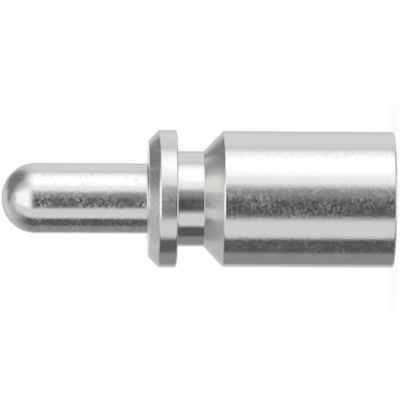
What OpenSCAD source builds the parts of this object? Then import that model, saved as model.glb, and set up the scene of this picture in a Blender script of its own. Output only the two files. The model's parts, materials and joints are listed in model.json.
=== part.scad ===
// Crimp contact pin: a power contact turned from one bar of copper alloy and silver plated.
// It stands on the rear end of its crimp barrel, with the contact's axis along +Z.
// Sizes are in millimetres, and the origin is the centre of the rear end.

/* [Contact pin] */
// Diameter of the mating pin
pin_d = 8; // [6:0.1:10]
// Length of the pin, from the collar's seat to the tip of the nose
pin_len = 16.7; // [10:0.1:30]
// Diameter of the small flat at the tip of the round nose
tip_flat_d = 0.3; // [0.1:0.05:2]

/* [Collar] */
// Diameter of the stop collar
collar_d = 15.7; // [14:0.1:20]
// Thickness of the collar, from its flat back to its seat
collar_len = 3.25; // [2.4:0.05:6]
// Width of the 45 degree chamfer on the front of the collar
collar_chamfer = 1.2; // [0.6:0.1:1.8]
// Rounding between the chamfer and the rim of the collar
collar_edge_r = 0.5; // [0.1:0.05:1]

/* [Retention groove] */
// Diameter of the neck that a retaining clip snaps around
neck_d = 10.85; // [9:0.05:12.5]
// Width of the groove, from the collar's back to the shoulder
neck_len = 3.05; // [1.5:0.05:6]

/* [Crimp barrel] */
// Outer diameter of the barrel
barrel_d = 15.5; // [14:0.1:18]
// Length of the straight barrel, from its rear end to the shoulder
barrel_len = 19.55; // [12:0.05:30]
// Length of the conical shoulder, from the barrel down to the neck
shoulder_len = 2.2; // [1:0.05:5]
// Rounding between the barrel and the shoulder
shoulder_edge_r = 0.4; // [0.1:0.05:1]

/* [Wire bore] */
// Diameter of the blind bore that takes the stranded conductor
bore_d = 12; // [8:0.1:13]
// Distance from the end of the bore's full diameter to the shoulder
bore_stop = 0.2; // [0:0.1:4]
// Point angle of the drill that shapes the end of the bore
drill_angle = 118; // [90:1:140]
// Width of the 45 degree lead-in at the mouth of the bore
mouth_chamfer = 0.5; // [0.1:0.1:0.8]

/* [Edges] */
// Rounding of the collar's back and seat edges and of the barrel's rear edge
edge_r = 0.3; // [0.05:0.05:0.4]
// Radius of the corner between the pin and the collar's seat
root_r = 0.25; // [0.05:0.05:0.5]
// Radius that the turning tool leaves in the two corners of the groove
corner_r = 0.15; // [0.05:0.05:0.4]

/* [Hidden] */
$fn = 128;

// Straight steps that make up each rounded edge
edge_steps = 6;
// How far a cut runs past the face that it opens
cut_overlap = 0.1;

pin_r = pin_d / 2;
tip_flat_r = tip_flat_d / 2;
nose_r = pin_r - tip_flat_r;
collar_r = collar_d / 2;
neck_r = neck_d / 2;
barrel_r = barrel_d / 2;
bore_r = bore_d / 2;

// Heights along the axis, from the rear end to the tip of the nose
neck_z = barrel_len + shoulder_len;
collar_z = neck_z + neck_len;
seat_z = collar_z + collar_len;
nose_z = seat_z + pin_len - nose_r;
bore_end_z = barrel_len - bore_stop;
drill_tip_z = bore_end_z + bore_r / tan(drill_angle / 2);

// Corners of the turned outline up to the nose, each as radius, height and edge rounding
outline = [
    [0, 0, 0],
    [barrel_r, 0, edge_r],
    [barrel_r, barrel_len, shoulder_edge_r],
    [neck_r, neck_z, corner_r],
    [neck_r, collar_z, corner_r],
    [collar_r, collar_z, edge_r],
    [collar_r, seat_z - collar_chamfer, collar_edge_r],
    [collar_r - collar_chamfer, seat_z, edge_r],
    [pin_r, seat_z, root_r],
    [pin_r, nose_z, 0],
    [0, nose_z, 0]
];

function flat(corner) = [corner[0], corner[1]];

function unit(v) = v / norm(v);

function rotated(v, angle) = [
    v[0] * cos(angle) - v[1] * sin(angle),
    v[0] * sin(angle) + v[1] * cos(angle)
];

// Arc of radius r that blends the edges b-a and b-c, kept within half of the shorter edge
function rounded(a, b, c, r) =
    let (
        to_a = unit(a - b),
        to_c = unit(c - b),
        half = acos(to_a * to_c) / 2,
        arc_r = min(r, tan(half) * min(norm(a - b), norm(c - b)) / 2),
        centre = b + unit(to_a + to_c) * arc_r / sin(half),
        start = b + to_a * arc_r / tan(half) - centre,
        sweep = sign(cross(b - a, c - b)) * (180 - 2 * half)
    )
    [for (i = [0 : edge_steps]) centre + rotated(start, sweep * i / edge_steps)];

// Outline with its corners rounded; a corner with no rounding stays a single point
function rounded_outline(corners) =
    let (n = len(corners))
    [
        for (i = [0 : n - 1])
            let (
                before = flat(corners[(i + n - 1) % n]),
                here = flat(corners[i]),
                after = flat(corners[(i + 1) % n]),
                r = corners[i][2]
            )
            each r > 0 ? rounded(before, here, after, r) : [here]
    ];

// Bar turned to its outline, with a round nose on the pin that ends in a small flat
module turned_body() {
    rotate_extrude() {
        polygon(rounded_outline(outline));
        translate([tip_flat_r, nose_z])
            intersection() {
                circle(r = nose_r);
                square(nose_r);
            }
        translate([0, nose_z])
            square([tip_flat_r, nose_r]);
    }
}

// Blind bore from the rear end, with its lead-in chamfer and drilled point
module wire_bore() {
    rotate_extrude()
        polygon([
            [0, -cut_overlap],
            [bore_r + mouth_chamfer + cut_overlap, -cut_overlap],
            [bore_r, mouth_chamfer],
            [bore_r, bore_end_z],
            [0, drill_tip_z]
        ]);
}

module contact_pin() {
    color("silver")
        difference() {
            turned_body();
            wire_bore();
        }
}

contact_pin();
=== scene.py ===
import json
import math
from collections import namedtuple

import bpy
from mathutils import Matrix, Vector


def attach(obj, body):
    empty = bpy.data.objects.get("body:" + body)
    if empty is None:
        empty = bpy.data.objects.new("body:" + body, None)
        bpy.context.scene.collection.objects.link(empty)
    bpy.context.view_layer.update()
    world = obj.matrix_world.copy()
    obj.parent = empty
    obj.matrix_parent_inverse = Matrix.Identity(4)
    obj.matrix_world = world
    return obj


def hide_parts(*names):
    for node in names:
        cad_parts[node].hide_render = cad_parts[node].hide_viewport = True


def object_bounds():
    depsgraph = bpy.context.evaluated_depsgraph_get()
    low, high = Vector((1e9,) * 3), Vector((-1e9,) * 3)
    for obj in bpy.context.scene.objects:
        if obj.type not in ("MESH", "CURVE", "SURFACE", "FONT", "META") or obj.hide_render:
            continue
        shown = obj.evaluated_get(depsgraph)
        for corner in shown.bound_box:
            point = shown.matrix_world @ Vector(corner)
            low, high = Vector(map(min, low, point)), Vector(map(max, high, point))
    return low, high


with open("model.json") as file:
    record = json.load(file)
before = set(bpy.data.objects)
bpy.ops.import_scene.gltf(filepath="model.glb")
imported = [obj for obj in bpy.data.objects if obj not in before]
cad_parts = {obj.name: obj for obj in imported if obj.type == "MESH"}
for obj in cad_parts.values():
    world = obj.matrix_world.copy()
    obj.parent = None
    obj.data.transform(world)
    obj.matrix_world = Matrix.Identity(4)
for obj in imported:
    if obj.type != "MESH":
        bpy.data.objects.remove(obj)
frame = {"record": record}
CAD_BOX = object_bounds()

MM = 0.001
mounts = {mount["name"]: mount for mount in frame["record"]["mounts"]}

# Sizes of the turned outline that the frame gives
PIN_R = mounts["mating_pin"]["dims"]["r_mm"] * MM
BORE_R = mounts["wire_bore"]["dims"]["r_mm"] * MM
COLLAR_Z = mounts["collar_back"]["pos_m"][2]
SEAT_Z = mounts["collar_seat"]["pos_m"][2]
COLLAR_R = min(*-CAD_BOX[0].xy, *CAD_BOX[1].xy)
TIP_Z = CAD_BOX[1].z

# The rest of the outline, as the solid has it
NECK_R = 5.425 * MM
NECK_LEN = 3.05 * MM
BARREL_R = 7.75 * MM
SHOULDER_LEN = 2.2 * MM
COLLAR_CHAMFER = 1.2 * MM
TIP_FLAT_R = 0.15 * MM
BORE_STOP = 0.2 * MM
DRILL_HALF_ANGLE = math.radians(59)
MOUTH_CHAMFER = 0.5 * MM

# Heights along the axis
NECK_Z = COLLAR_Z - NECK_LEN
BARREL_Z = NECK_Z - SHOULDER_LEN
BORE_END_Z = BARREL_Z - BORE_STOP
DRILL_TIP_Z = BORE_END_Z + BORE_R / math.tan(DRILL_HALF_ANGLE)

# Roundings of the edges and corners
NOSE_R = PIN_R - TIP_FLAT_R
COLLAR_EDGE_R = 0.5 * MM
SHOULDER_EDGE_R = 0.4 * MM
EDGE_R = 0.3 * MM
ROOT_R = 0.25 * MM
CORNER_R = 0.15 * MM
BURR_R = 0.05 * MM

# Facets of the lathed mesh: around the axis, and along each rounding
SEGMENTS = 192
ARC_STEP = math.radians(6)
# Radius below which a point of the outline lies on the axis
ON_AXIS = 1e-9

# Finishes, each as roughness and grain
TURNED = (0.14, 1.0)
PIN = (0.155, 1.35)
NOSE = (0.14, 0.5)
FACED = (0.20, 0.5)
CHAMFERED = (0.14, 1.2)
RIM = (0.23, 0.55)
GROOVE_WALL = (0.05, 0.1)
NECK = (0.135, 0.5)
CONE = (0.22, 0.1)
DRILLED = (0.30, 0.2)
WORN = (0.10, 0.3)

# Noise of the plating, drawn out around the axis: its grain and its wave, each as scale and roughness
NOISE_STRETCH = (0.5, 0.5, 0.6)
NOISE_DETAIL = 2
GRAIN = (5.0, 0.6)
WAVE = (0.9, 0.5)

# Relief of the plating: its depth, and the wave's part in it beside the grain
RELIEF_DEPTH = 0.008 * MM
WAVE_SHARE = 0.6

# What the noise becomes, each as a low and a high noise and the values there
PATCHES = (0.40, 0.60, 0.15, 1.0)
SPECKLE = (0.36, 0.64, -0.06, 0.1)
FROST = (0.42, 0.64, 0.0, 0.065)

# Colours of the silver, and the pull of the turning marks on its gloss with its direction, in full turns
BRIGHT_SILVER = (0.97, 0.965, 0.955, 1)
DULL_SILVER = (0.955, 0.955, 0.945, 1)
TURNING_PULL = 0.95
PULL_TURN = 0.25

# Camera: width of the view at the axis, where it aims, and how far off it stands
VIEW_WIDTH = 45.6 * MM
AIM_Z = 22.12 * MM
AIM_BELOW_AXIS = 0.135 * MM
CAMERA_DISTANCE = 1200 * MM
CAMERA_Z = 64 * MM
SENSOR_WIDTH = 36
PHOTO_TILT = math.radians(0.29)

# Studio: a tent around the part, and a round patch of floor that fades out
TENT_R = 3000 * MM
TENT_STEP = 3
FLOOR_R = 20 * MM
FLOOR_SIDES = 128
FLOOR_DROP = 0.02 * MM
FLOOR_FADE = 11 * MM
FLOOR_WHITE = 0.8
FLOOR_PAINT = (0.95, 0.95, 0.95, 1)
WHITE = (1, 1, 1, 1)

# Key lamp: its width, power in watts and place
LAMP_SIZE = 300 * MM
LAMP_POWER = 0.05
LAMP_PLACE = Vector((100, -300, 400)) * MM


def rounded_corner(before, corner, after, radius):
    """Points of the arc that rounds a corner, each with its direction of travel."""
    way_in = (corner - before).normalized()
    way_out = (after - corner).normalized()
    turn = math.atan2(way_in.x * way_out.y - way_in.y * way_out.x, way_in.dot(way_out))
    start = corner - way_in * radius * math.tan(abs(turn) / 2)
    side = math.copysign(1, turn)
    centre = start + Vector((-way_in.y, way_in.x)) * radius * side
    steps = math.ceil(abs(turn) / ARC_STEP)
    points = []
    for i in range(steps + 1):
        rotation = Matrix.Rotation(turn * i / steps, 2)
        points.append((centre + rotation @ (start - centre), rotation @ way_in))
    return points


def section():
    """The outline from the tip of the nose, down the outside and up the bore.

    Each point has its place, its direction of travel and its finish.
    """
    # Radius, height and rounding of each corner, the finish of the rounding and of the stretch after it
    corners = [
        (0, TIP_Z, 0, NOSE, NOSE),
        (PIN_R, TIP_Z, NOSE_R, NOSE, PIN),
        (PIN_R, SEAT_Z, ROOT_R, WORN, FACED),
        (COLLAR_R - COLLAR_CHAMFER, SEAT_Z, EDGE_R, WORN, CHAMFERED),
        (COLLAR_R, SEAT_Z - COLLAR_CHAMFER, COLLAR_EDGE_R, WORN, RIM),
        (COLLAR_R, COLLAR_Z, EDGE_R, WORN, GROOVE_WALL),
        (NECK_R, COLLAR_Z, CORNER_R, WORN, NECK),
        (NECK_R, NECK_Z, CORNER_R, WORN, CONE),
        (BARREL_R, BARREL_Z, SHOULDER_EDGE_R, WORN, TURNED),
        (BARREL_R, 0, EDGE_R, WORN, FACED),
        (BORE_R + MOUTH_CHAMFER, 0, BURR_R, WORN, FACED),
        (BORE_R, MOUTH_CHAMFER, BURR_R, WORN, DRILLED),
        (BORE_R, BORE_END_Z, BURR_R, WORN, DRILLED),
        (0, DRILL_TIP_Z, 0, DRILLED, DRILLED),
    ]
    places = [Vector(corner[:2]) for corner in corners]
    first_way = (places[1] - places[0]).normalized()
    points = [(places[0], first_way, corners[0][4])]
    for i in range(1, len(corners) - 1):
        arc = rounded_corner(places[i - 1], places[i], places[i + 1], corners[i][2])
        finishes = [corners[i - 1][4]] + [corners[i][3]] * (len(arc) - 2) + [corners[i][4]]
        for (place, way), finish in zip(arc, finishes):
            points.append((place, way, finish))
    last_way = (places[-1] - places[-2]).normalized()
    return points + [(places[-1], last_way, corners[-1][4])]


def lathe(name, outline):
    """Mesh of the outline turned about Z, with the true normals of the turned surface."""
    verts, normals, finishes, rings = [], [], [], []
    for place, way, finish in outline:
        on_axis = place.x < ON_AXIS
        ring = []
        for i in range(1 if on_axis else SEGMENTS):
            angle = 2 * math.pi * i / SEGMENTS
            out = Vector((math.cos(angle), math.sin(angle), 0))
            lean = 0 if on_axis else -way.y
            ring.append(len(verts))
            verts.append(out * place.x + Vector((0, 0, place.y)))
            normals.append((out * lean + Vector((0, 0, way.x))).normalized())
            finishes.append(finish)
        rings.append(ring)
    faces = []
    for upper, lower in zip(rings, rings[1:]):
        for i in range(SEGMENTS):
            j = (i + 1) % SEGMENTS
            above = [upper[0]] if len(upper) == 1 else [upper[j], upper[i]]
            below = [lower[0]] if len(lower) == 1 else [lower[i], lower[j]]
            faces.append(above + below)
    mesh = bpy.data.meshes.new(name)
    mesh.from_pydata(verts, [], faces)
    mesh.shade_smooth()
    mesh.normals_split_custom_set_from_vertices(normals)
    for quality, values in zip(("roughness", "grain"), zip(*finishes)):
        mesh.attributes.new(quality, "FLOAT", "POINT").data.foreach_set("value", values)
    piece = bpy.data.objects.new(name, mesh)
    bpy.context.scene.collection.objects.link(piece)
    return piece


def new_material(name):
    """A material with an empty node tree, and a function that adds a node with its inputs and settings."""
    material = bpy.data.materials.new(name)
    material.use_nodes = True
    tree = material.node_tree
    tree.nodes.clear()

    def add(kind, inputs, **settings):
        node = tree.nodes.new("ShaderNode" + kind)
        for key, value in settings.items():
            setattr(node, key, value)
        for key, value in inputs.items():
            if isinstance(value, bpy.types.NodeSocket):
                tree.links.new(value, node.inputs[key])
            else:
                node.inputs[key].default_value = value
        return node

    return material, add


def compute(add, operation, *values):
    """Output of a Math node on the values."""
    return add("Math", dict(enumerate(values)), operation=operation).outputs[0]


def ranged(add, noise, limits):
    """Output of a node that turns a low and a high noise into the values given for them."""
    names = ("From Min", "From Max", "To Min", "To Max")
    return add("MapRange", {"Value": noise, **dict(zip(names, limits))}).outputs["Result"]


def silver_plate():
    """Silver plating on a turned and tumbled part: fine grain, faint turning marks and matte specks."""
    material, add = new_material("silver_plate")
    place = add("TexCoord", {}).outputs["Object"]
    in_mm = add("VectorMath", {0: place, "Scale": 1 / MM}, operation="SCALE").outputs[0]
    around = add("VectorMath", {0: in_mm, 1: NOISE_STRETCH}, operation="MULTIPLY").outputs[0]
    rough = add("Attribute", {}, attribute_name="roughness").outputs["Fac"]
    coarse = add("Attribute", {}, attribute_name="grain").outputs["Fac"]

    def noise(scale, roughness):
        inputs = {"Vector": around, "Scale": scale, "Detail": NOISE_DETAIL, "Roughness": roughness}
        return add("TexNoise", inputs).outputs["Fac"]

    grain = noise(*GRAIN)
    wave = noise(*WAVE)
    height = compute(add, "MULTIPLY_ADD", wave, WAVE_SHARE, grain)
    bump = add("Bump", {"Height": height, "Distance": RELIEF_DEPTH, "Strength": coarse}).outputs["Normal"]

    # The specks come in patches: some change the gloss, and some are matte
    amount = compute(add, "MULTIPLY", ranged(add, wave, PATCHES), coarse)
    gloss = compute(add, "MULTIPLY_ADD", ranged(add, grain, SPECKLE), amount, rough)
    matte = compute(add, "MULTIPLY", ranged(add, grain, FROST), amount)
    metal = compute(add, "SUBTRACT", 1.0, matte)

    tint = add("Mix", {0: wave, 6: BRIGHT_SILVER, 7: DULL_SILVER}, data_type="RGBA").outputs[2]
    tangent = add("Tangent", {}, direction_type="RADIAL", axis="Z").outputs[0]
    shader = add(
        "BsdfPrincipled",
        {
            "Base Color": tint,
            "Metallic": metal,
            "Roughness": gloss,
            "Anisotropic": TURNING_PULL,
            "Anisotropic Rotation": PULL_TURN,
            "Tangent": tangent,
            "Normal": bump,
        },
    )
    add("OutputMaterial", {"Surface": shader.outputs["BSDF"]})
    return material


Card = namedtuple("Card", "name around up soft level")

# What the metal mirrors: level of the tent, then its cards from the lowest layer to the top one.
# Around is in degrees from the camera towards +X, up is in degrees above level,
# and soft is the width of the card's edges in both.
TENT_LEVEL = 0.46
CARDS = (
    Card("back wall", (144, 208), (-120, 76), (24, 10), 0.54),
    Card("far wall", (174, 186), (-12, 10), (10, 16), 0.95),
    Card("back ceiling", (130, 212), (66, 88), (24, 12), 0.18),
    Card("upper back wall", (150, 225), (36, 62), (24, 16), 0.60),
    Card("low ceiling", (-125, -80), (50, 84), (20, 24), 0.40),
    Card("upper back board", (98, 150), (-120, 14), (20, 34), 0.65),
    Card("dark ceiling", (72, 158), (22, 88), (22, 20), 0.19),
    Card("front panel", (-46, 38), (14, 71), (40, 12), 0.95),
    Card("front bounce board", (-72, -35), (-120, 72), (12, 24), 0.63),
    Card("key softbox", (21, 93), (-120, 14), (16, 44), 0.80),
    Card("middle of the softbox", (42, 80), (-120, 14), (36, 44), 1.15),
    Card("low back board", (-148, -105), (-120, 14), (12, 30), 0.24),
    Card("top of the low back board", (-126, -105), (-120, 38), (12, 30), 0.24),
    Card("low flag", (-105.5, -71), (-120, 36), (10, 44), 0.09),
    Card("edge of the camera gap", (-4, 19), (-120, 13), (16, 8), 0.235),
    Card("camera gap", (-32, 2.5), (-120, 12), (16, 8), 0.07),
    Card("lower side", (-180, 180), (-120, -42), (1, 16), 0.30),
    Card("zenith", (-180, 180), (86, 120), (1, 10), 0.42),
    Card("nadir", (-180, 180), (-120, -66), (1, 16), 0.85),
)


def smooth_step(t):
    """0 up to t = 0 and 1 from t = 1, with a smooth rise between."""
    t = min(max(t, 0), 1)
    return t * t * (3 - 2 * t)


def between(value, low, high, soft):
    """1 between low and high and 0 outside, with edges as wide as soft."""
    return smooth_step((value - low) / soft + 0.5) * smooth_step((high - value) / soft + 0.5)


def tent_level(around, up):
    """Light level of the tent in one direction, in degrees."""
    level = TENT_LEVEL
    for card in CARDS:
        middle = sum(card.around) / 2
        offset = (around - middle + 180) % 360 - 180
        half = (card.around[1] - card.around[0]) / 2
        cover = between(offset, -half, half, card.soft[0])
        cover *= between(up, *card.up, card.soft[1])
        level += (card.level - level) * cover
    return level


def light_tent():
    """Sphere around the part that only mirrored rays see, with its light levels at its points."""
    verts, levels, faces = [], [], []
    columns = 360 // TENT_STEP
    rows = 180 // TENT_STEP
    for row in range(rows + 1):
        up = 90 - row * TENT_STEP
        for column in range(columns):
            around = column * TENT_STEP
            a, u = math.radians(around), math.radians(up)
            way = Vector((math.sin(a) * math.cos(u), -math.cos(a) * math.cos(u), math.sin(u)))
            verts.append(way * TENT_R + Vector((0, 0, AIM_Z)))
            levels.append(tent_level(around, up))
    for row in range(rows):
        for column in range(columns):
            here = row * columns + column
            beside = row * columns + (column + 1) % columns
            faces.append((here, beside, beside + columns, here + columns))
    mesh = bpy.data.meshes.new("light_tent")
    mesh.from_pydata(verts, [], faces)
    mesh.attributes.new("level", "FLOAT", "POINT").data.foreach_set("value", levels)

    material, add = new_material("light_tent")
    level = add("Attribute", {}, attribute_name="level").outputs["Fac"]
    glow = add("Emission", {"Strength": level})
    add("OutputMaterial", {"Surface": glow.outputs[0]})
    material.cycles.emission_sampling = "NONE"
    mesh.materials.append(material)

    tent = bpy.data.objects.new("light_tent", mesh)
    bpy.context.scene.collection.objects.link(tent)
    tent.visible_camera = False
    tent.visible_diffuse = False
    tent.visible_shadow = False
    tent.visible_transmission = False
    tent.visible_volume_scatter = False


def floor():
    """Round patch of pale floor that fades out to the white background, and is clear from below."""
    bpy.ops.mesh.primitive_circle_add(vertices=FLOOR_SIDES, radius=FLOOR_R, fill_type="NGON")
    disc = bpy.context.object
    disc.name = "floor"
    disc.location.z = -FLOOR_DROP
    material, add = new_material("pale_floor")
    place = add("TexCoord", {}).outputs["Object"]
    reach = add("VectorMath", {0: place}, operation="LENGTH").outputs["Value"]
    fade = add(
        "MapRange",
        {"Value": reach, "From Min": FLOOR_R - FLOOR_FADE, "From Max": FLOOR_R},
        interpolation_type="SMOOTHSTEP",
    ).outputs["Result"]
    below = add("NewGeometry", {}).outputs["Backfacing"]
    clear = compute(add, "MAXIMUM", fade, below)
    paint = add("BsdfDiffuse", {"Color": FLOOR_PAINT}).outputs[0]
    white = add("Emission", {"Strength": 1.0}).outputs[0]
    ray = add("LightPath", {}).outputs
    straight = compute(add, "MAXIMUM", ray["Is Camera Ray"], ray["Is Glossy Ray"])
    straight = compute(add, "MAXIMUM", straight, ray["Is Transmission Ray"])
    share = compute(add, "MULTIPLY", straight, FLOOR_WHITE)
    pale = add("MixShader", {0: share, 1: paint, 2: white}).outputs[0]
    through = add("BsdfTransparent", {}).outputs[0]
    mix = add("MixShader", {0: clear, 1: pale, 2: through})
    add("OutputMaterial", {"Surface": mix.outputs[0]})
    disc.data.materials.append(material)
    # The tent stands for the floor in the metal
    disc.visible_glossy = False


def white_world():
    """Even white light from all around, which is the background too."""
    world = bpy.data.worlds.new("white_room")
    world.use_nodes = True
    background = world.node_tree.nodes["Background"]
    background.inputs["Color"].default_value = WHITE
    background.inputs["Strength"].default_value = 1
    bpy.context.scene.world = world


def key_lamp():
    """Soft lamp above the camera; the tent's key softbox stands for it in the metal."""
    lamp = bpy.data.lights.new("key_lamp", "AREA")
    lamp.size = LAMP_SIZE
    lamp.energy = LAMP_POWER
    holder = bpy.data.objects.new("key_lamp", lamp)
    holder.location = LAMP_PLACE
    holder.rotation_euler = (-LAMP_PLACE).to_track_quat("-Z", "Y").to_euler()
    holder.visible_glossy = False
    bpy.context.scene.collection.objects.link(holder)


def camera():
    """Beside the part, with the contact's axis across the frame and its nose to the left."""
    level = Vector((math.sin(PHOTO_TILT), 0, -math.cos(PHOTO_TILT)))
    spot = Vector((0, -CAMERA_DISTANCE, CAMERA_Z))
    aim = Vector((-AIM_BELOW_AXIS, 0, AIM_Z))
    back = (spot - aim).normalized()
    right = (level - back * level.dot(back)).normalized()
    up = back.cross(right)
    data = bpy.data.cameras.new("camera")
    data.sensor_width = SENSOR_WIDTH
    data.lens = SENSOR_WIDTH * CAMERA_DISTANCE / VIEW_WIDTH
    holder = bpy.data.objects.new("camera", data)
    holder.matrix_world = Matrix.Translation(spot) @ Matrix((right, up, back)).transposed().to_4x4()
    bpy.context.scene.collection.objects.link(holder)
    bpy.context.scene.camera = holder


contact = lathe("turned_contact", section())
contact.data.materials.append(silver_plate())
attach(contact, "root")
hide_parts("contact_pin")

light_tent()
floor()
white_world()
key_lamp()
camera()
bpy.context.scene.view_settings.view_transform = "Standard"
